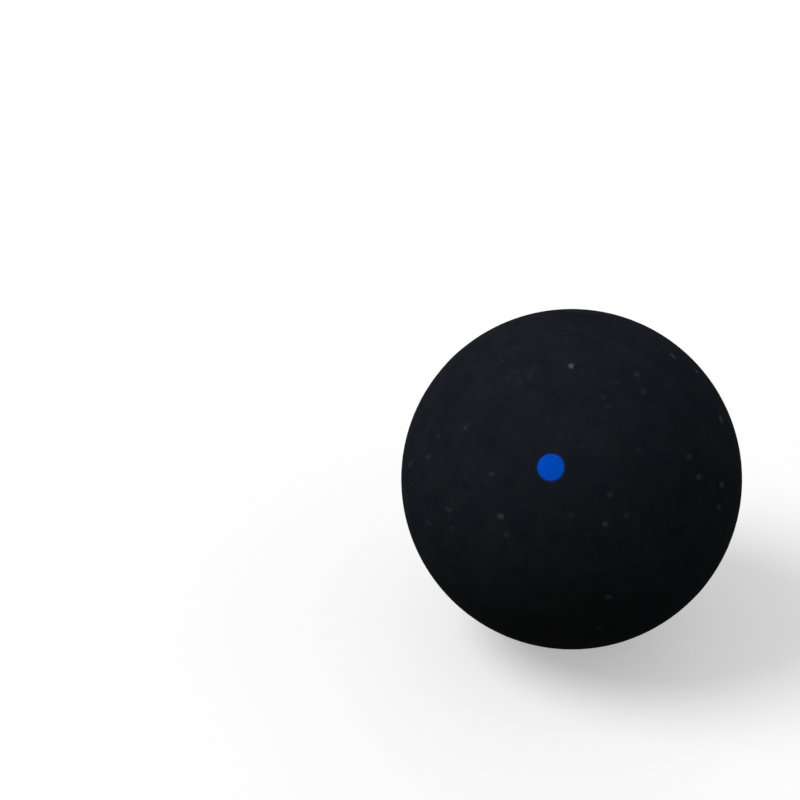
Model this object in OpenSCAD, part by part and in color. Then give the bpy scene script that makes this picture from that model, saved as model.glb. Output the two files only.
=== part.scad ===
// Squash ball: two moulded rubber half shells, butt-joined at their buffed rims by a film of
// rubber solution, with a stamped speed dot on the front half. The ball is hollow and holds
// only air at normal pressure.
//
// Frame, in millimetres: the origin is the ball's centre and +Z is up. The half shells meet in
// the XZ plane, and the front half's pole points to -Y.

/* [Ball] */
// Outside diameter of the finished ball
ball_d = 40; // [36:0.5:60]
// Thickness of the rubber wall
wall_t = 5.2; // [3.5:0.1:8]

/* [Seam] */
// Thickness of the cured film of rubber solution between the two rims
bond_t = 0.2; // [0.1:0.05:0.6]
// Radius that buffing leaves on the inner edge of each rim
rim_round = 0.6; // [0.3:0.1:1.2]
// How far the bead of squeezed-out solution laps onto the inner wall past that radius
bead_lap = 0.4; // [0.2:0.1:1]
// How far the bead's crest stands in from the inner wall
bead_rise = 0.5; // [0.3:0.1:0.9]

/* [Speed dot] */
// Diameter of the stamped colour film
dot_d = 3; // [2:0.05:8]
// Thickness of the colour film, which is flush with the rubber round it
dot_t = 0.1; // [0.05:0.05:0.4]
// Gap round the film, which the edge of the stamping die leaves
dot_gap = 0.05; // [0.02:0.01:0.2]
// Angle from the front pole to the dot, turned about the vertical towards +X
dot_turn = 16.4; // [-30:0.1:30]
// Angle of the dot above the ball's middle
dot_rise = 34.9; // [-40:0.1:40]

/* [Hidden] */
$fn = 180;

ball_r = ball_d / 2;
cavity_r = ball_r - wall_t;
beyond = ball_r + 1;           // reach of a cut that has to pass the outside of the ball

rim_y = bond_t / 2;            // each rim lies this far from the seam plane

// The rim's rounded inner edge is an arc that runs smoothly into the rim and the inner wall.
rim_round_y = rim_y + rim_round;
rim_round_x = sqrt(pow(cavity_r + rim_round, 2) - pow(rim_round_y, 2));
rim_round_end_y = rim_round_y * cavity_r / (cavity_r + rim_round);

// The bead's section is an arc through its two edges on the inner wall and its crest.
bead_edge_y = rim_round_end_y + bead_lap;
bead_edge_x = sqrt(pow(cavity_r, 2) - pow(bead_edge_y, 2));
bead_crest_x = cavity_r - bead_rise;
bead_depth = bead_edge_x - bead_crest_x;
bead_r = (pow(bead_edge_y, 2) + pow(bead_depth, 2)) / (2 * bead_depth);

dot_floor_r = ball_r - dot_t;  // the floor of the dot's recess follows the ball

// Revolves a section, drawn with x out from the poles' axis and y up from the seam plane, into
// a solid whose upper pole points to -Y.
module about_poles() {
    rotate([90, 0, 0])
        rotate_extrude()
            children();
}

// Moves a solid from the +Z axis to the dot's place on the front half.
module at_dot() {
    rotate([0, 0, dot_turn])
        rotate([90 - dot_rise, 0, 0])
            children();
}

// What buffing takes off the inner edge of a rim.
module rim_edge_cut() {
    difference() {
        translate([0, rim_y])
            square([rim_round_x, rim_round_end_y - rim_y]);
        translate([rim_round_x, rim_round_y])
            circle(r = rim_round);
    }
}

// Half the section of one half shell, on the upper side of the seam.
module shell_section() {
    difference() {
        intersection() {
            circle(r = ball_r);
            translate([0, rim_y])
                square(beyond);
        }
        circle(r = cavity_r);
        rim_edge_cut();
    }
}

// Half the section of the bond: all that the strip between the rims and the bead's circle hold
// once both half shells are taken away.
module bond_section() {
    difference() {
        intersection() {
            circle(r = ball_r);
            union() {
                translate([cavity_r, -rim_y])
                    square([wall_t, bond_t]);
                translate([bead_crest_x + bead_r, 0])
                    circle(r = bead_r);
            }
        }
        shell_section();
        mirror([0, 1])
            shell_section();
    }
}

// A disc about the +Z axis, from the floor of the dot's recess out to a sphere of radius top_r.
module dot_disc(d, top_r) {
    intersection() {
        cylinder(d = d, h = beyond);
        difference() {
            sphere(r = top_r);
            sphere(r = dot_floor_r);
        }
    }
}

module half_shell_front() {
    color([0.10, 0.10, 0.11])
        difference() {
            about_poles()
                shell_section();
            at_dot()
                dot_disc(dot_d + 2 * dot_gap, beyond);
        }
}

module half_shell_back() {
    color([0.14, 0.14, 0.15])
        mirror([0, 1, 0])
            about_poles()
                shell_section();
}

module bond_film() {
    color([0.30, 0.29, 0.27])
        about_poles()
            bond_section();
}

module speed_dot() {
    color([0.02, 0.27, 0.72])
        at_dot()
            dot_disc(dot_d, ball_r);
}

half_shell_front();
half_shell_back();
bond_film();
speed_dot();
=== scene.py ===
import math
import random

import bmesh
import bpy
import numpy as np
from mathutils import Matrix, Vector, noise


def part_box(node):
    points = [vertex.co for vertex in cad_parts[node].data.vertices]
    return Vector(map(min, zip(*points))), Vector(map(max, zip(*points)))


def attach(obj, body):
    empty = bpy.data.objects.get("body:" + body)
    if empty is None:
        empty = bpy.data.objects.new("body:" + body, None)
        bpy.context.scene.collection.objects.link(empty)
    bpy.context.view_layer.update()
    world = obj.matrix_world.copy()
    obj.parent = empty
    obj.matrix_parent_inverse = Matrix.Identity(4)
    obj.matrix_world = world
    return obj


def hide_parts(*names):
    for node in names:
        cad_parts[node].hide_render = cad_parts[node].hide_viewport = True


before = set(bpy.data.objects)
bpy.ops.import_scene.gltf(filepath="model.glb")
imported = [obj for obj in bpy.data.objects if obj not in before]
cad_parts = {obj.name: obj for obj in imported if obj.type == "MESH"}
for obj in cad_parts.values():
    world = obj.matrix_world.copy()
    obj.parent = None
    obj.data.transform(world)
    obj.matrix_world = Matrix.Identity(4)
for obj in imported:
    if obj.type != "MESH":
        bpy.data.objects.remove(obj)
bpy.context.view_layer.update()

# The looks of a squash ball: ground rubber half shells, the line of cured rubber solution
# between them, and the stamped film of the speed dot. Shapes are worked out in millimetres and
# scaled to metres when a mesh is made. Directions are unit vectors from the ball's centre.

MM = 0.001
SEED = 11

# ---------------------------------------------------------------- sizes, from the frame


def node_points(name):
    """A CAD node's vertices, in millimetres."""
    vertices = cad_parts[name].data.vertices
    return np.array([v.co for v in vertices]) / MM


def unit(vector):
    return vector / np.linalg.norm(vector)


def directions_to(points):
    """The direction of each point from the ball's centre."""
    return points / np.linalg.norm(points, axis=1, keepdims=True)


def off_axis(points, axis):
    """Distance of each point from a line through the ball's centre."""
    return np.linalg.norm(points - np.outer(points @ axis, axis), axis=1)


shell_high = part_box("half_shell_front")[1]
BALL_R = shell_high.x / MM
CAVITY_R = float(np.linalg.norm(node_points("half_shell_back"), axis=1).min())
RIM_Y = -shell_high.y / MM                      # distance of each rim from the seam plane
BEAD_EDGE_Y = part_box("bond_film")[1].y / MM     # and of the bead's two edges on the inner wall
BEAD_CREST_X = float(off_axis(node_points("bond_film"), np.array([0, 1, 0])).min())
dot_points = node_points("speed_dot")
DOT_FLOOR_R = float(np.linalg.norm(dot_points, axis=1).min())
DOT_AXIS = unit(dot_points.mean(axis=0))
DOT_R = float(off_axis(dot_points, DOT_AXIS).max())

# ---------------------------------------------------------------- camera, as in the photograph

PHOTO_SIZE = 800            # width and height of the photograph's frame, in pixels
FOCAL_PX = 3277             # focal length, in those pixels
BALL_PX = (571.2, 479.0)    # where the ball's centre shows
OUTLINE_PX = 170.0          # radius of the ball's outline
VIEW_TURN, VIEW_RISE = math.radians(24.6), math.radians(31.6)   # the camera, seen from the ball
SENSOR_MM = 36
CLIP_M = (0.01, 20)         # nearest and farthest that the camera shows, in metres


def towards(turn, rise):
    """The direction that lies round from -Y by a turn towards +X, and above the floor by a rise."""
    return np.array([math.sin(turn) * math.cos(rise), -math.cos(turn) * math.cos(rise), math.sin(rise)])


def slopes(px, py):
    """How far a pixel's ray runs to the right and down for each unit that it runs forward."""
    return (px - PHOTO_SIZE / 2) / FOCAL_PX, (py - PHOTO_SIZE / 2) / FOCAL_PX


def camera_place():
    """The camera's position in millimetres, and its right, up and forward axes, level with the floor."""
    across, down = slopes(*BALL_PX)
    slant = math.sqrt((1 + across**2 + down**2) / (1 + down**2))
    pitch = math.asin(slant * math.sin(VIEW_RISE)) - math.atan(down)
    heading = VIEW_TURN + math.atan2(across, math.cos(pitch) - down * math.sin(pitch))
    right = np.array([math.cos(heading), math.sin(heading), 0])
    level = np.array([-math.sin(heading), math.cos(heading), 0])
    forward = math.cos(pitch) * level - math.sin(pitch) * np.array([0, 0, 1])
    away = BALL_R / math.sin(math.atan(OUTLINE_PX / FOCAL_PX))
    return away * towards(VIEW_TURN, VIEW_RISE), right, np.cross(right, forward), forward


CAMERA, RIGHT, UP, FORWARD = camera_place()


def seen_at(px, py):
    """The direction of the point of the ball's surface that shows at a pixel."""
    across, down = slopes(px, py)
    ray = unit(FORWARD + across * RIGHT - down * UP)
    middle = -CAMERA @ ray
    half_chord = math.sqrt(BALL_R**2 - CAMERA @ CAMERA + middle**2)
    return (CAMERA + (middle - half_chord) * ray) / BALL_R


def add_object(name, data):
    made = bpy.data.objects.new(name, data)
    bpy.context.scene.collection.objects.link(made)
    return made


def add_camera():
    data = bpy.data.cameras.new("camera")
    data.sensor_width = SENSOR_MM
    data.lens = FOCAL_PX * SENSOR_MM / PHOTO_SIZE
    data.clip_start, data.clip_end = CLIP_M
    camera = add_object("camera", data)
    axes = Matrix(np.column_stack([RIGHT, UP, -FORWARD]).tolist()).to_4x4()
    camera.matrix_world = Matrix.Translation(Vector(CAMERA * MM)) @ axes
    bpy.context.scene.camera = camera


# ---------------------------------------------------------------- marks on the ground rubber

# Pale dust specks that lie in small pits: the pixel where each shows in the photograph, its
# width and height on the ball in millimetres, and how pale it is.
SPECKS_SHOWN = [
    (571.0, 365.7, 0.60, 0.60, 0.96), (500.8, 516.2, 0.70, 0.60, 0.42), (604.9, 523.7, 0.63, 0.56, 0.36),
    (636.8, 374.1, 0.60, 0.68, 0.22), (602.8, 396.8, 0.52, 0.52, 0.10), (465.3, 427.2, 0.55, 0.46, 0.20),
    (428.4, 456.2, 0.98, 0.52, 0.14), (410.0, 463.5, 1.50, 0.60, 0.13), (491.9, 473.5, 0.74, 0.56, 0.16),
    (448.6, 509.3, 0.86, 0.53, 0.16), (505.8, 534.3, 0.66, 0.66, 0.15), (688.9, 456.5, 0.76, 0.58, 0.20),
    (698.8, 476.5, 0.74, 0.55, 0.35), (721.8, 484.7, 1.00, 0.60, 0.38), (719.0, 506.8, 0.80, 0.50, 0.35),
    (610.1, 494.1, 0.70, 0.73, 0.17), (626.6, 515.0, 0.66, 0.62, 0.17), (608.4, 596.7, 0.67, 0.62, 0.34),
    (672.8, 355.8, 0.66, 0.72, 0.46), (721.2, 418.8, 0.80, 1.00, 0.50), (566.1, 342.0, 0.36, 0.22, 0.12),
    (615.8, 382.1, 0.72, 0.74, 0.07), (606.9, 405.9, 0.74, 0.60, 0.06), (642.7, 391.5, 0.80, 0.70, 0.09),
    (438.0, 435.7, 0.95, 0.54, 0.07), (452.4, 527.4, 0.50, 0.46, 0.11), (428.2, 522.3, 1.28, 0.62, 0.09),
    (580.0, 444.5, 0.64, 0.54, 0.04), (637.5, 449.3, 0.88, 0.70, 0.08), (571.0, 514.5, 0.64, 0.64, 0.08),
    (588.7, 533.0, 0.82, 0.70, 0.06), (599.4, 627.5, 0.72, 1.00, 0.14), (696.5, 371.0, 0.50, 0.50, 0.80),
]
# Scuffs: the pixels where each stroke starts and ends, its width in millimetres, and how pale it is.
SCUFFS_SHOWN = [
    (498.5, 354.5, 501.5, 359.0, 0.60, 0.053), (500.5, 360.0, 503.0, 362.5, 0.52, 0.032),
    (506.0, 355.5, 508.5, 349.5, 0.63, 0.047), (510.0, 350.0, 514.5, 347.5, 0.63, 0.058),
    (516.0, 346.0, 519.5, 350.5, 0.63, 0.058), (524.0, 349.5, 527.0, 348.5, 0.57, 0.047),
    (509.0, 371.0, 520.0, 370.5, 0.57, 0.040), (497.0, 378.5, 504.0, 380.0, 0.57, 0.040),
    (504.0, 379.0, 512.5, 377.5, 0.68, 0.057), (513.0, 378.0, 521.0, 379.5, 0.57, 0.035),
    (518.5, 385.5, 522.0, 380.0, 0.68, 0.053), (523.0, 374.0, 527.5, 371.0, 0.57, 0.031),
    (530.5, 381.0, 530.5, 372.5, 0.72, 0.053), (531.0, 371.5, 533.0, 367.5, 0.57, 0.031),
    (531.0, 366.0, 540.0, 365.5, 0.45, 0.031), (480.0, 382.0, 486.0, 381.0, 0.48, 0.035),
    (482.0, 389.0, 488.0, 387.5, 0.52, 0.031), (528.5, 396.0, 531.5, 400.0, 0.57, 0.035),
    (540.0, 394.0, 543.5, 395.0, 0.49, 0.031), (538.0, 402.5, 543.0, 401.0, 0.75, 0.026),
    (512.0, 404.5, 518.5, 404.0, 0.51, 0.040), (518.5, 403.0, 525.0, 402.0, 0.60, 0.022),
    (500.0, 413.0, 503.0, 408.5, 0.68, 0.026), (580.5, 374.5, 582.5, 369.0, 0.51, 0.026),
    (632.0, 349.5, 636.5, 351.0, 0.54, 0.035), (640.0, 354.0, 645.0, 359.0, 0.51, 0.026),
    (645.5, 359.5, 651.5, 364.5, 0.60, 0.035), (659.0, 372.0, 670.0, 381.0, 0.60, 0.026),
    (640.0, 387.0, 646.0, 393.0, 0.54, 0.031), (609.5, 388.0, 613.0, 390.0, 0.54, 0.026),
    (581.0, 410.0, 584.0, 415.0, 0.54, 0.026), (589.5, 411.0, 591.5, 417.0, 0.45, 0.018),
]
# Patches of bloom and of painted light and shade: the pixel where each is centred, its reach
# sideways and upwards in millimetres, and how much paler it is. Some are mottled rubber; the
# dark patches at the top rim and at the upper left are painted shade, and the pale patch near
# the upper right edge is a painted highlight.
BLOOM_AND_PAINTED_LIGHT_SHOWN = [(565, 440, 4.5, 3.0, 0.16), (571, 316, 7.0, 2.8, -0.20), (455, 555, 4.5, 3.5, -0.08),
               (462, 366, 3.0, 3.0, -0.14), (718, 420, 4.0, 5.0, 0.22), (640, 560, 4.0, 3.0, 0.06)]

# Marks scattered by chance over the side that doesn't show: how many there are, and the least
# and the most of each of their sizes in millimetres and of how pale they are.
HIDDEN_SPECKS = 60
SPECK_WIDTH, SPECK_SHAPE = (0.40, 0.80), (0.75, 1.0)   # its shape is its height against its width
SPECK_PALE, SPECK_PALER = 0.06, 0.5      # how pale every speck is, and how much more a few are
HIDDEN_SCUFFS, HIDDEN_STROKES = 5, 6     # groups of strokes, and strokes in each
SCUFF_SPREAD = 1.3                       # how far a group spreads from its middle
STROKE_LENGTH, STROKE_WIDTH, STROKE_PALE = (0.2, 0.9), (0.45, 0.70), (0.02, 0.05)
HIDDEN_BLOOM = 14
BLOOM_REACH, BLOOM_PALER = (2.5, 5.0), (-0.14, 0.14)


def tangents(spot, level):
    """Unit vectors along the ball's surface at a spot: the nearer to level, and the one square to it."""
    side = unit(level - (level @ spot) * spot)
    return side, np.cross(spot, side)


def by_chance(chance, spread=1):
    """A vector that may point in every direction alike."""
    return np.array([chance.gauss(0, spread) for _ in range(3)])


def hidden_spot(chance):
    """A direction by chance, on the side of the ball that doesn't show."""
    while True:
        spot = unit(by_chance(chance))
        if spot @ CAMERA < 0:
            return spot


def specks():
    """(direction, width, height, paleness) of every speck on the ball."""
    chance = random.Random(SEED)
    found = [(seen_at(px, py), *rest) for px, py, *rest in SPECKS_SHOWN]
    to_camera = unit(CAMERA)
    while len(found) < len(SPECKS_SHOWN) + HIDDEN_SPECKS:
        spot = unit(by_chance(chance))
        width = chance.uniform(*SPECK_WIDTH)
        height = width * chance.uniform(*SPECK_SHAPE)
        pale = SPECK_PALE + SPECK_PALER * chance.random() ** 4
        if spot @ to_camera < BALL_R / np.linalg.norm(CAMERA):
            found.append((spot, width, height, pale))
    return found


def scuffs():
    """(direction, its lengthwise tangent, half length, half width, amount) of every stroke on the ball."""
    chance = random.Random(SEED + 1)
    found = []
    for start_x, start_y, end_x, end_y, width, pale in SCUFFS_SHOWN:
        start, end = seen_at(start_x, start_y), seen_at(end_x, end_y)
        spot = unit(start + end)
        half_length = max(0, BALL_R * np.linalg.norm(end - start) - width) / 2
        found.append((spot, tangents(spot, end - start)[0], half_length, width / 2, pale))
    for _ in range(HIDDEN_SCUFFS):
        middle = hidden_spot(chance)
        for _ in range(HIDDEN_STROKES):
            spot = unit(middle + by_chance(chance, SCUFF_SPREAD / BALL_R))
            lengthwise = tangents(spot, by_chance(chance))[0]
            length, width = chance.uniform(*STROKE_LENGTH), chance.uniform(*STROKE_WIDTH)
            found.append((spot, lengthwise, length / 2, width / 2, chance.uniform(*STROKE_PALE)))
    return found


def bloom_and_painted_light():
    """(direction, reach sideways, reach upwards, amount) of every patch of bloom, and of painted light and
    shade, on the ball.
    """
    chance = random.Random(SEED + 2)
    found = [(seen_at(px, py), wide, high, amount) for px, py, wide, high, amount in BLOOM_AND_PAINTED_LIGHT_SHOWN]
    for _ in range(HIDDEN_BLOOM):
        wide, high = chance.uniform(*BLOOM_REACH), chance.uniform(*BLOOM_REACH)
        found.append((hidden_spot(chance), wide, high, chance.uniform(*BLOOM_PALER)))
    return found


# The last of these holds patches of bloom and of painted light and shade.
SPECKS, SCUFFS, BLOOM_AND_PAINTED_LIGHT = specks(), scuffs(), bloom_and_painted_light()

# ---------------------------------------------------------------- relief and colour over the ball

SPECK_SOFT = 1.4            # width of a speck's soft edge, as a share of its half width
RAGGED, RAGGED_WAVES = 0.35, 3   # how uneven a speck's edge is, and its waves per millimetre
SPECK_END = (1 + RAGGED) * (1 + SPECK_SOFT / 2)   # how many half widths out that edge ends at most
PIT_DEPTH = 0.06            # depth of a speck's pit, as a share of its height
GRAIN = ((0.9, 0.004), (1.8, 0.003))   # the ground surface's waves per millimetre, and their height
RECESS_EDGE = (0.02, 0.09)  # the recess's wall lies between these distances past the dot's edge
SEAM_RIDGE, SEAM_REACH = 0.038, 0.7  # most height of the ground seam's ridge, and how far it reaches
SEAM_LEAST, SEAM_HIGHS, SEAM_TURN = 0.2, 3, 38   # its least share of that, its highs, and where one lies
SEAM_PALER = 0.16           # how much paler the rubber is where the ridge is highest
INK_SPREAD, INK_REACH = 0.30, 0.21   # how strong the ink is just past the dot's edge, and how far


def smooth(x):
    """A soft step: 0 up to 0, and 1 from 1 on."""
    x = np.clip(x, 0, 1)
    return x * x * (3 - 2 * x)


def bloom_and_painted_light_cover(directions):
    """How much paler each point of the ball is for the bloom and for the painted light and shade on it."""
    total = np.zeros(len(directions))
    for spot, wide, high, amount in BLOOM_AND_PAINTED_LIGHT:
        side, up = tangents(spot, RIGHT)
        across = directions @ side * BALL_R / wide
        along = directions @ up * BALL_R / high
        total += (directions @ spot > 0) * amount * np.exp(-across**2 - along**2)
    return total


def scuff_cover(directions):
    """How much dust a scuff holds at each point of the ball."""
    most = np.zeros(len(directions))
    for spot, lengthwise, half_length, half_width, amount in SCUFFS:
        past_end = np.abs(directions @ lengthwise) * BALL_R - half_length
        aside = directions @ np.cross(spot, lengthwise) * BALL_R
        away = np.hypot(np.maximum(past_end, 0), aside) / half_width
        most = np.maximum(most, (directions @ spot > 0) * amount * np.exp(-away**2))
    return most


def speck_cover(directions):
    """The depth of the speck's pit at each point of the ball, and how pale its dust is there."""
    depth = np.zeros(len(directions))
    pale = np.zeros(len(directions))
    for spot, width, height, paleness in SPECKS:
        side, up = tangents(spot, RIGHT)
        away = 2 * BALL_R * np.hypot(directions @ side / width, directions @ up / height)
        near = np.flatnonzero((away < SPECK_END) & (directions @ spot > 0))
        ragged = [noise.noise(Vector(directions[i] * BALL_R * RAGGED_WAVES)) for i in near]
        reach = 1 + RAGGED * np.array(ragged)
        inside = smooth(0.5 + (reach - away[near]) / (reach * SPECK_SOFT))
        depth[near] = np.maximum(depth[near], inside * PIT_DEPTH * height)
        pale[near] = np.maximum(pale[near], inside * paleness)
    return depth, pale


def grain_height(directions):
    """Height of the ground surface's fine waves."""
    height = np.zeros(len(directions))
    for waves, amount in GRAIN:
        points = directions * BALL_R * waves
        height += amount * np.array([noise.noise(Vector(p)) for p in points])
    return height


def seam_cover(points):
    """How much of the low ridge that grinding leaves along the seam is left at each point."""
    turn = np.arctan2(points[:, 0], points[:, 2]) - math.radians(SEAM_TURN)
    left = SEAM_LEAST + (1 - SEAM_LEAST) * (0.5 + 0.5 * np.cos(SEAM_HIGHS * turn))
    return left * np.exp(-(points[:, 1] / SEAM_REACH) ** 2)


def past_dot(directions):
    """Distance past the dot's edge, measured square to its axis, or the ball's radius on the far side."""
    past = BALL_R * off_axis(directions, DOT_AXIS) - DOT_R
    return np.where(directions @ DOT_AXIS > 0, past, BALL_R)


def ink_cover(directions):
    """How much of the dot's ink has spread onto the rubber round it."""
    return INK_SPREAD * smooth(1 - past_dot(directions) / INK_REACH)


def recess_depth(directions):
    """Depth of the recess that the stamping die leaves, with its soft wall round the dot."""
    low, high = RECESS_EDGE
    return (BALL_R - DOT_FLOOR_R) * smooth((high - past_dot(directions)) / (high - low))


# ---------------------------------------------------------------- meshes


def ring(radius, y, turns):
    """A loop of points round the Y axis."""
    return np.column_stack([radius * np.cos(turns), np.full(len(turns), y), radius * np.sin(turns)])


def loops_of(count, steps):
    """The vertex numbers of each loop, for loops of so many steps that follow one another."""
    return [list(range(k * steps, (k + 1) * steps)) for k in range(count)]


def band(first, second):
    """Faces between two loops of as many vertices."""
    n = len(first)
    return [[first[i], first[(i + 1) % n], second[(i + 1) % n], second[i]] for i in range(n)]


def stepped_band(first, second):
    """Faces between a loop and one with fewer vertices, a whole number of times."""
    step = len(first) // len(second)
    faces = []
    for i, inner in enumerate(second):
        outer = [first[(i * step + k) % len(first)] for k in range(step + 1)]
        faces.append(outer + [second[(i + 1) % len(second)], inner])
    return faces


def fan(loop, middle):
    """Faces between a loop and the vertex in its middle."""
    return [[vertex, loop[(i + 1) % len(loop)], middle] for i, vertex in enumerate(loop)]


def points_of(mesh_data):
    flat = np.zeros(len(mesh_data.vertices) * 3)
    mesh_data.vertices.foreach_get("co", flat)
    return flat.reshape(-1, 3)


def set_points(mesh_data, points):
    mesh_data.vertices.foreach_set("co", points.ravel())
    mesh_data.update()


def set_values(mesh_data, name, values):
    """Gives the vertices a value each, which a material reads by its name."""
    mesh_data.attributes.new(name, "FLOAT", "POINT").data.foreach_set("value", values)


def make_mesh(name, points, faces):
    mesh_data = bpy.data.meshes.new(name)
    mesh_data.from_pydata(points.tolist(), [], faces)
    mesh_data.update()
    return mesh_data


def outward(mesh_data):
    """Turns every face to point out of the closed surface."""
    bm = bmesh.new()
    bm.from_mesh(mesh_data)
    bmesh.ops.recalc_face_normals(bm, faces=bm.faces)
    bm.to_mesh(mesh_data)
    bm.free()


def finish_piece(mesh_data, node, material):
    """Scales a mesh to metres and makes the piece that stands for a CAD node."""
    outward(mesh_data)
    set_points(mesh_data, points_of(mesh_data) * MM)
    mesh_data.polygons.foreach_set("use_smooth", [True] * len(mesh_data.polygons))
    mesh_data.materials.append(material)
    piece = add_object(mesh_data.name, mesh_data)
    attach(piece, "root")
    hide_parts(node)


# ---------------------------------------------------------------- half shells

DOME_CELLS = 212            # cells along each side of the square grid that covers a dome
INNER_STEP = 4              # the inner wall has one segment to this many of the dome's edge
RIM_BANDS = (0.3, 0.15, 0.07, 0.03, 0.01)   # rings near the rim, in millimetres from it
RIM_SOFT = 0.02             # radius of the rim's outer edge
ROUND_MM, ROUND_STEPS = 0.6, 5   # radius of the rim's inner edge, and segments round it
ROUND_Y = RIM_Y + ROUND_MM  # where that radius has its centre
ROUND_X = math.sqrt((CAVITY_R + ROUND_MM) ** 2 - ROUND_Y**2)
CAVITY_RINGS = 40           # rings on the inner wall, from that edge to the pole
SKIN_MM = 0.2               # the skin is what lies this near the outside of the ball
MARK_REFINED = (0.3, 0.1)   # the skin's cells are halved once out to each of these past a mark
SPECK_REFINED = 0.7         # and a speck counts out to this share of its width
DOT_REFINED = (0.6, 0.35, 0.2)   # and once within each of these distances of the dot's edge


def rim_round():
    """(distance from the Y axis, distance from the seam plane) of the points round a rim's inner edge."""
    angles = [math.atan2(ROUND_X, ROUND_Y) * k / ROUND_STEPS for k in range(ROUND_STEPS + 1)]
    return [(ROUND_X - ROUND_MM * math.sin(a), ROUND_Y - ROUND_MM * math.cos(a)) for a in angles]


def dome_grid(cells, edge_angle):
    """An even grid of directions about -Y, out to edge_angle, with its cells and its edge loop."""
    line = np.linspace(-1, 1, cells + 1)
    u, v = (a.ravel() for a in np.meshgrid(line, line, indexing="ij"))
    wide = np.abs(u) > np.abs(v)
    reach = np.where(wide, u, v)
    safe = np.where(reach == 0, 1, reach)
    turn = np.where(wide, math.pi / 4 * v / safe, math.pi / 2 - math.pi / 4 * u / safe)
    cos_tilt = 1 - reach**2 * (1 - math.cos(edge_angle))
    sin_tilt = np.sqrt(1 - cos_tilt**2) * np.sign(reach)
    points = np.column_stack([sin_tilt * np.cos(turn), -cos_tilt, sin_tilt * np.sin(turn)])
    row = cells + 1
    corner = np.add.outer(np.arange(cells) * row, np.arange(cells)).ravel()
    faces = np.column_stack([corner, corner + 1, corner + row + 1, corner + row])
    edge = np.flatnonzero(np.maximum(np.abs(u), np.abs(v)) == 1)
    edge = edge[np.argsort(np.arctan2(points[edge, 2], points[edge, 0]))]
    return points, faces.tolist(), edge.tolist()


def shell_mesh():
    """The front half shell as one closed surface: points in millimetres, and faces."""
    edge_angle = math.acos((RIM_Y + RIM_BANDS[0]) / BALL_R)
    directions, faces, loop = dome_grid(DOME_CELLS, edge_angle)
    rings, count = [directions * BALL_R], len(directions)
    turns = np.arctan2(directions[loop, 2], directions[loop, 0])
    few = turns[::INNER_STEP]

    def add(points, join=band):
        """Adds a loop of points, and the faces that join it to the last one."""
        nonlocal loop, count
        rings.append(points)
        new = list(range(count, count + len(points)))
        faces.extend(join(loop, new))
        loop, count = new, count + len(points)

    for gap in RIM_BANDS[1:]:
        y = RIM_Y + gap
        sunk = RIM_SOFT - math.sqrt(RIM_SOFT**2 - max(0, RIM_SOFT - gap) ** 2)
        add(ring(math.sqrt(BALL_R**2 - y**2) - sunk, -y, turns))
    add(ring(BALL_R - RIM_SOFT, -RIM_Y, turns))
    add(ring(ROUND_X, -RIM_Y, few), stepped_band)
    for x, y in rim_round()[1:]:
        add(ring(x, -y, few))
    start = math.atan2(ROUND_Y, ROUND_X)
    for k in range(1, CAVITY_RINGS):
        tilt = start + (math.pi / 2 - start) * k / CAVITY_RINGS
        add(ring(CAVITY_R * math.cos(tilt), -CAVITY_R * math.sin(tilt), few))
    rings.append(np.array([[0, -CAVITY_R, 0]]))
    return np.concatenate(rings), faces + fan(loop, count)


def refine(mesh_data, places):
    """Halves the skin's cells near each place, once out to every distance that the place gives."""
    bm = bmesh.new()
    bm.from_mesh(mesh_data)
    for level in range(max(len(reaches) for _, reaches in places)):
        centres = np.array([f.calc_center_median() for f in bm.faces])
        skin = np.linalg.norm(centres, axis=1) > BALL_R - SKIN_MM
        chosen = np.zeros(len(centres), bool)
        for distance, reaches in places:
            if level < len(reaches):
                chosen |= skin & (distance(centres) < reaches[level])
        bm.faces.ensure_lookup_table()
        edges = dict.fromkeys(e for i in np.flatnonzero(chosen) for e in bm.faces[i].edges)
        bmesh.ops.subdivide_edges(bm, edges=list(edges), cuts=1, use_grid_fill=True)
    bmesh.ops.triangulate(bm, faces=[f for f in bm.faces if len(f.verts) > 4])
    bm.to_mesh(mesh_data)
    bm.free()


def spot_distance(spot):
    return lambda points: np.linalg.norm(points - spot * BALL_R, axis=1)


def dot_edge_distance(points):
    return np.abs(past_dot(directions_to(points)))


def half_shell(name, node, side, material):
    """One half shell: side is 1 for the front, whose pole is at -Y, and -1 for the back."""
    points, faces = shell_mesh()
    points[:, 1] *= side
    mesh_data = make_mesh(name, points, faces)
    marks = [(spot, width * SPECK_REFINED) for spot, width, _, _ in SPECKS]
    marks += [(spot, half_length) for spot, _, half_length, _, _ in SCUFFS]
    places = [(spot_distance(spot), [reach + past for past in MARK_REFINED])
              for spot, reach in marks if -side * spot[1] > 0]
    if side == 1:
        places.append((dot_edge_distance, DOT_REFINED))
    refine(mesh_data, places)
    points = points_of(mesh_data)
    length = np.linalg.norm(points, axis=1)
    off_rim = np.abs(points[:, 1]) - RIM_Y
    skin = np.flatnonzero((length > BALL_R - SKIN_MM) & (off_rim > RIM_BANDS[-1] / 2))
    directions = directions_to(points[skin])
    depth, pale = speck_cover(directions)
    seam = seam_cover(points[skin])
    target = np.where(off_rim[skin] < RIM_BANDS[0], length[skin], BALL_R)
    target += grain_height(directions) + SEAM_RIDGE * seam - depth - recess_depth(directions)
    points[skin] = directions * target[:, None]
    set_points(mesh_data, points)
    # paler holds the bloom with its painted shade and painted highlight, and the paler seam ridge.
    covers = {"speck": pale, "scuff": scuff_cover(directions), "ink": ink_cover(directions),
              "paler": bloom_and_painted_light_cover(directions) + SEAM_PALER * seam}
    for key, cover in covers.items():
        values = np.zeros(len(points))
        values[skin] = cover
        set_values(mesh_data, key, values)
    finish_piece(mesh_data, node, material)


# ---------------------------------------------------------------- bond line

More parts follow.
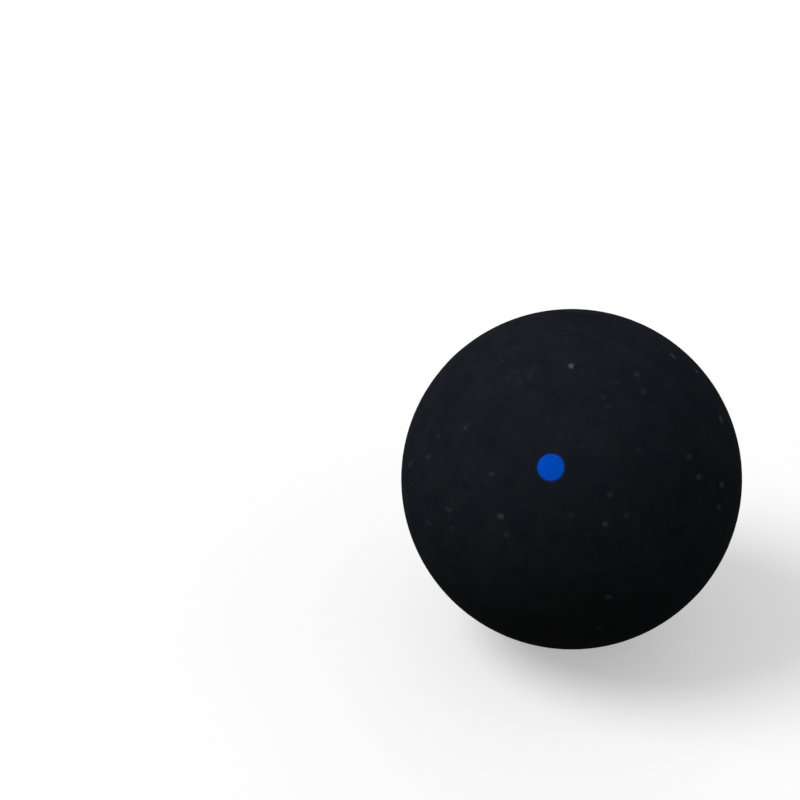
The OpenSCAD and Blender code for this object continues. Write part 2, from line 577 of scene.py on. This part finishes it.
BOND_STEPS = 4 * DOME_CELLS  # segments round it, as many as the edge of a dome has cells
BAND_STEPS, BEAD_STEPS = 6, 12   # segments across the ground line, and across the bead
BAND_SUNK = 0.004           # the ground line lies this much lower than the rubber


def bond_piece(material):
    """The ring of rubber solution: the ground line outside, the film and the bead inside."""
    ground = [(BALL_R - BAND_SUNK, RIM_Y * (2 * k / BAND_STEPS - 1)) for k in range(BAND_STEPS + 1)]
    upper = rim_round()
    lower = [(x, -y) for x, y in reversed(upper)]
    sag = math.sqrt(CAVITY_R**2 - BEAD_EDGE_Y**2) - BEAD_CREST_X
    bead_r = (BEAD_EDGE_Y**2 + sag**2) / (2 * sag)
    half_angle = math.asin(BEAD_EDGE_Y / bead_r)
    bead = [(BEAD_CREST_X + bead_r - bead_r * math.cos(a), bead_r * math.sin(a))
            for a in half_angle * np.linspace(1, -1, BEAD_STEPS + 1)]
    outline = ground + upper + bead + lower
    turns = np.linspace(0, 2 * math.pi, BOND_STEPS, endpoint=False)
    points = np.concatenate([ring(x, y, turns) for x, y in outline])
    loops = loops_of(len(outline), BOND_STEPS)
    faces = []
    for first, second in zip(loops, loops[1:] + loops[:1]):
        faces += band(first, second)
    skin = np.flatnonzero(np.linalg.norm(points, axis=1) > BALL_R - SKIN_MM)
    directions = directions_to(points[skin])
    height = grain_height(directions) + SEAM_RIDGE * seam_cover(points[skin])
    points[skin] += directions * height[:, None]
    finish_piece(make_mesh("bond_line", points, faces), "bond_film", material)


# ---------------------------------------------------------------- speed dot

DOT_STEPS = 160             # segments round the film
DOT_RINGS, DOT_SOFT_STEPS = 24, 5   # rings across its flat top, and segments round its upper edge
DOT_UNDER = (1, 0.66, 0.33)  # rings under it, as shares of its radius
DOT_PROUD = 0.006           # how far the film stands above the rubber
DOT_CLEAR = 0.002           # and its underside above the floor of the recess
DOT_SOFT = 0.03             # radius of the film's upper edge
DOT_WOBBLE = 0.006          # how far its outline strays, as a share of its radius
DOT_WAVES = (3, 5)          # radius and height of the circle that is read from the noise for that
THIN_REACH, THIN_MOST = 0.16, 0.55   # the film's colour thins this near its edge, by this much


def dot_piece(material):
    """The stamped film: a disc that follows the ball, with a soft upper edge."""
    low, high = DOT_FLOOR_R - BALL_R + DOT_CLEAR, DOT_PROUD
    flat = DOT_R - DOT_SOFT
    outline = [(flat * k / DOT_RINGS, high) for k in range(1, DOT_RINGS + 1)]
    outline += [(flat + DOT_SOFT * math.sin(a), high - DOT_SOFT * (1 - math.cos(a)))
                for a in np.linspace(0, math.pi / 2, DOT_SOFT_STEPS + 1)[1:]]
    outline += [(DOT_R * share, low) for share in DOT_UNDER]
    side = unit(np.cross(DOT_AXIS, [0, 0, 1]))
    other = np.cross(DOT_AXIS, side)
    turns = np.linspace(0, 2 * math.pi, DOT_STEPS, endpoint=False)
    circle_r, circle_z = DOT_WAVES
    uneven = [noise.noise(Vector((circle_r * math.cos(t), circle_r * math.sin(t), circle_z))) for t in turns]
    wobble = 1 + DOT_WOBBLE * np.array(uneven)

    def place(rho, lift):
        """The loop of points so far from the dot's axis, so high above the ball."""
        across = rho / BALL_R * wobble
        along = np.sqrt(1 - across**2)
        flat_part = np.outer(np.cos(turns) * across, side) + np.outer(np.sin(turns) * across, other)
        directions = flat_part + np.outer(along, DOT_AXIS)
        height = BALL_R + lift + (grain_height(directions) if lift > 0 else 0)
        return directions * np.reshape(height, (-1, 1))

    points = np.concatenate([place(rho, lift) for rho, lift in outline]
                            + [(DOT_AXIS * (BALL_R + lift))[None] for lift in (high, low)])
    loops = loops_of(len(outline), DOT_STEPS)
    top, bottom = len(points) - 2, len(points) - 1
    faces = fan(loops[0], top) + fan(loops[-1], bottom)
    for first, second in zip(loops, loops[1:]):
        faces += band(first, second)
    mesh_data = make_mesh("dot_film", points, faces)
    inset = -past_dot(directions_to(points))
    set_values(mesh_data, "thin", THIN_MOST * smooth(1 - inset / THIN_REACH))
    finish_piece(mesh_data, "speed_dot", material)


# ---------------------------------------------------------------- materials


class Nodes:
    """The node tree of a material or of the world, with short calls that add and link its nodes."""

    def __init__(self, owner):
        owner.use_nodes = True
        self.owner, self.tree = owner, owner.node_tree
        self.tree.nodes.clear()

    def add(self, kind, inputs=None, **settings):
        """Adds a node. An input that is another node's socket is linked, and any other is set."""
        node = self.tree.nodes.new(kind)
        for key, value in settings.items():
            setattr(node, key, value)
        for key, value in (inputs or {}).items():
            if isinstance(value, bpy.types.NodeSocket):
                self.tree.links.new(value, node.inputs[key])
            else:
                node.inputs[key].default_value = value
        return node

    def millimetres(self):
        """The point's place in the ball's own frame, in millimetres."""
        place = self.add("ShaderNodeTexCoord").outputs["Object"]
        return self.add("ShaderNodeVectorMath", {0: place, "Scale": 1 / MM},
                        operation="SCALE").outputs["Vector"]

    def attribute(self, name):
        """A value that the mesh carries at its vertices."""
        return self.add("ShaderNodeAttribute", attribute_name=name).outputs["Fac"]

    def noise(self, place, scale, detail, roughness, output="Fac"):
        """Soft noise at a place: its value, or with the output "Color" three values at once."""
        return self.add("ShaderNodeTexNoise", {"Vector": place, "Scale": scale, "Detail": detail,
                                               "Roughness": roughness}).outputs[output]

    def ramp(self, value, low, high, to_low=0.0, to_high=1.0):
        """Goes from to_low to to_high while the value goes from low to high, and no further."""
        return self.add("ShaderNodeMapRange", {"Value": value, "From Min": low, "From Max": high,
                                               "To Min": to_low, "To Max": to_high}).outputs["Result"]

    def math(self, operation, a, b):
        return self.add("ShaderNodeMath", {0: a, 1: b}, operation=operation).outputs[0]

    def weigh(self, a, b, share):
        """A share of a, and the rest of b."""
        return self.math("ADD", self.math("MULTIPLY", a, share), self.math("MULTIPLY", b, 1 - share))

    def mix(self, factor, a, b, blend="MIX"):
        """A mix of two colours, which go in at the node's sockets 6 and 7 and come out at 2."""
        return self.add("ShaderNodeMix", {0: factor, 6: a, 7: b}, data_type="RGBA",
                        blend_type=blend).outputs[2]

    def dust(self, place, cells, width, share, strength):
        """Tiny round grains: cells per millimetre, a grain's width, share of cells with one, strength."""
        cell = self.add("ShaderNodeTexVoronoi", {"Vector": place, "Scale": cells}, feature="F1").outputs
        spot = self.ramp(cell["Distance"], width * cells / 2, width * cells / 4)
        chance = self.add("ShaderNodeSeparateColor", {"Color": cell["Color"]}).outputs[0]
        picked = self.math("MULTIPLY", spot, self.math("LESS_THAN", chance, share))
        return self.math("MULTIPLY", picked, strength)

    def bump(self, height, depth):
        """The surface's normal, for a relief so many millimetres deep."""
        return self.add("ShaderNodeBump", {"Height": height, "Strength": 1.0,
                                           "Distance": depth * MM}).outputs["Normal"]

    def shown(self):
        """1 to the camera and in reflections and clear things, and 0 to light that bounces."""
        ray = self.add("ShaderNodeLightPath").outputs
        shown = self.math("MAXIMUM", ray["Is Camera Ray"], ray["Is Glossy Ray"])
        return self.math("MAXIMUM", shown, ray["Is Transmission Ray"])

    def finish(self, **inputs):
        """Ends a material with its surface, whose inputs are named with _ for each space."""
        surface = self.add("ShaderNodeBsdfPrincipled", {k.replace("_", " "): v for k, v in inputs.items()})
        self.add("ShaderNodeOutputMaterial", {"Surface": surface.outputs[0]})
        return self.owner


# The darkest and the palest colour of each material.
RUBBER = ((0.0091, 0.0110, 0.0150, 1), (0.0138, 0.0163, 0.0217, 1))
SOLUTION = ((0.0110, 0.0131, 0.0177, 1), (0.0128, 0.0152, 0.0203, 1))
FILM = ((0.0002, 0.077, 0.590, 1), (0.0005, 0.096, 0.730, 1))
TINT = (0.75, 0.30, 0.50)            # how far the rubber's red, green and blue stray
DUST = (0.084, 0.094, 0.112, 1)      # the colour of the pale dust
INK = (0.0003, 0.085, 0.655, 1)      # the colour of the dot's ink on the rubber
THIN_INK = (0.022, 0.062, 0.215, 1)  # and of the dot where its ink is thin

# Noises over the surface: waves per millimetre, detail, and the roughness of that detail.
CLOUDS = (0.35, 5.0, 0.85)
TINTS = (0.33, 4.0, 0.8)
CRUMBS = (2.6, 5.0, 0.65)
GRIT = (7.0, 4.0, 0.62)
BRUSHED = (3.2, 4.0, 0.6)
USUAL = (0.3, 0.7)                   # most of a noise's values lie between these
RUBBER_TONES = (0.38, 0.62)          # between these the rubber goes from its darkest to its palest
FILM_TONES = (0.32, 0.68)            # and between these the film does
CLOUD_SHARE = 0.7                    # share of the clouds in the rubber's tone, and the rest is grit
POWDER = (0.7, 1.3)                  # how far the grit weakens and strengthens the dust of a mark

# The surfaces: roughness where the noise is low and high, depth of the relief in millimetres,
# and strength of the reflections.
RUBBER_ROUGH, RUBBER_RELIEF, RUBBER_SHINE = (0.86, 0.98), 0.045, 0.002
SOLUTION_ROUGH, SOLUTION_RELIEF, SOLUTION_SHINE = (0.78, 0.92), 0.03, 0.003
FILM_ROUGH, FILM_RELIEF, FILM_SHINE = (0.6, 0.75), 0.025, 0.01
RUBBER_CRUMBS, FILM_CRUMBS = 0.5, 0.6    # share of the crumbs in the relief, and the rest is grit

# Grains: cells per millimetre, a grain's width, the share of cells that have one, and its strength.
DUST_GRAINS = (1.3, 0.16, 0.10, 0.05)
FILM_PORES = (3.0, 0.13, 0.15, 0.5)


def rubber_material():
    s = Nodes(bpy.data.materials.new("ground_rubber"))
    place = s.millimetres()
    crumbs, grit = s.noise(place, *CRUMBS), s.noise(place, *GRIT)
    tone = s.weigh(s.noise(place, *CLOUDS), grit, CLOUD_SHARE)
    color = s.mix(s.ramp(tone, *RUBBER_TONES), *RUBBER)
    tint = s.add("ShaderNodeVectorMath", {0: s.noise(place, *TINTS, output="Color"), 1: TINT,
                                          2: [1 - t / 2 for t in TINT]}, operation="MULTIPLY_ADD")
    color = s.mix(1.0, color, tint.outputs["Vector"], "MULTIPLY")
    # Paler and darker where the mesh says so: bloom, painted shade, a painted highlight, and the seam ridge.
    color = s.mix(1.0, color, s.math("ADD", s.attribute("paler"), 1.0), "MULTIPLY")
    marks = s.math("ADD", s.attribute("speck"), s.attribute("scuff"))
    marks = s.math("MULTIPLY", marks, s.ramp(grit, *USUAL, *POWDER))
    color = s.mix(s.math("MAXIMUM", s.dust(place, *DUST_GRAINS), marks), color, DUST)
    color = s.mix(s.attribute("ink"), color, INK)
    return s.finish(Base_Color=color, Roughness=s.ramp(crumbs, *USUAL, *RUBBER_ROUGH),
                    Normal=s.bump(s.weigh(crumbs, grit, RUBBER_CRUMBS), RUBBER_RELIEF),
                    Specular_IOR_Level=RUBBER_SHINE)


def bond_material():
    s = Nodes(bpy.data.materials.new("cured_rubber_solution"))
    brushed = s.noise(s.millimetres(), *BRUSHED)
    return s.finish(Base_Color=s.mix(s.ramp(brushed, *USUAL), *SOLUTION),
                    Roughness=s.ramp(brushed, *USUAL, *SOLUTION_ROUGH),
                    Normal=s.bump(brushed, SOLUTION_RELIEF), Specular_IOR_Level=SOLUTION_SHINE)


def dot_material():
    s = Nodes(bpy.data.materials.new("stamped_colour_film"))
    place = s.millimetres()
    crumbs, grit = s.noise(place, *CRUMBS), s.noise(place, *GRIT)
    color = s.mix(s.ramp(crumbs, *FILM_TONES), *FILM)
    color = s.mix(s.math("MAXIMUM", s.dust(place, *FILM_PORES), s.attribute("thin")), color, THIN_INK)
    return s.finish(Base_Color=color, Roughness=s.ramp(grit, *USUAL, *FILM_ROUGH),
                    Normal=s.bump(s.weigh(crumbs, grit, FILM_CRUMBS), FILM_RELIEF),
                    Specular_IOR_Level=FILM_SHINE)


# ---------------------------------------------------------------- floor and light

# Soft lamps: the turn about the vertical and the rise of the way to each, in degrees, how wide
# it looks, and how bright it makes a white face square to it.
LAMPS = {
    "key": (-58, 50, 38, 0.56),
    "rear": (200, 4, 60, 0.24),
}
FILL_LEVEL = 0.42           # of white, from the whole sky
FLOOR_HALF_M = 3.0          # half the floor's width, in metres
FLOOR_BOUNCE = (0.13, 0.12, 0.02, 1)   # the floor's colour to light that bounces off it
FLOOR_SHOWN = (0.68, 0.68, 0.68, 1)    # its colour to the camera and in reflections
FLOOR_GLOW = 0.40           # what it gives there by itself, so that it shows white round a pale shadow


def floor_material():
    """White to the camera and in reflections, and dull to light that bounces off it."""
    s = Nodes(bpy.data.materials.new("floor"))
    shown = s.shown()
    surface = s.add("ShaderNodeBsdfDiffuse", {"Color": s.mix(shown, FLOOR_BOUNCE, FLOOR_SHOWN)})
    glow = s.add("ShaderNodeEmission", {"Strength": s.math("MULTIPLY", shown, FLOOR_GLOW)})
    both = s.add("ShaderNodeAddShader", {0: surface.outputs[0], 1: glow.outputs[0]})
    s.add("ShaderNodeOutputMaterial", {"Surface": both.outputs[0]})
    return s.owner


def add_floor():
    corners = np.array([[x, y, 0] for x, y in ((-1, -1), (1, -1), (1, 1), (-1, 1))]) * FLOOR_HALF_M
    corners[:, 2] = -BALL_R * MM
    floor = add_object("floor", make_mesh("floor", corners, [[0, 1, 2, 3]]))
    floor.data.materials.append(floor_material())


def add_lamps():
    for name, (turn, rise, spread, level) in LAMPS.items():
        data = bpy.data.lights.new(name, "SUN")
        data.energy = level * math.pi
        data.angle = math.radians(spread)
        lamp = add_object(name, data)
        way = Vector(towards(math.radians(turn), math.radians(rise)))
        lamp.rotation_mode = "QUATERNION"
        lamp.rotation_quaternion = way.to_track_quat("Z", "Y")


def add_world():
    """A white studio to the camera and in reflections, and soft light from all sides."""
    s = Nodes(bpy.data.worlds.new("studio"))
    strength = s.ramp(s.shown(), 0.0, 1.0, FILL_LEVEL, 1.0)
    sky = s.add("ShaderNodeBackground", {"Color": (1, 1, 1, 1), "Strength": strength})
    s.add("ShaderNodeOutputWorld", {"Surface": sky.outputs[0]})
    bpy.context.scene.world = s.owner


# ---------------------------------------------------------------- the scene

add_camera()
rubber = rubber_material()
half_shell("rubber_front", "half_shell_front", 1, rubber)
half_shell("rubber_back", "half_shell_back", -1, rubber)
bond_piece(bond_material())
dot_piece(dot_material())
add_floor()
add_lamps()
add_world()
bpy.context.scene.view_settings.view_transform = "Standard"
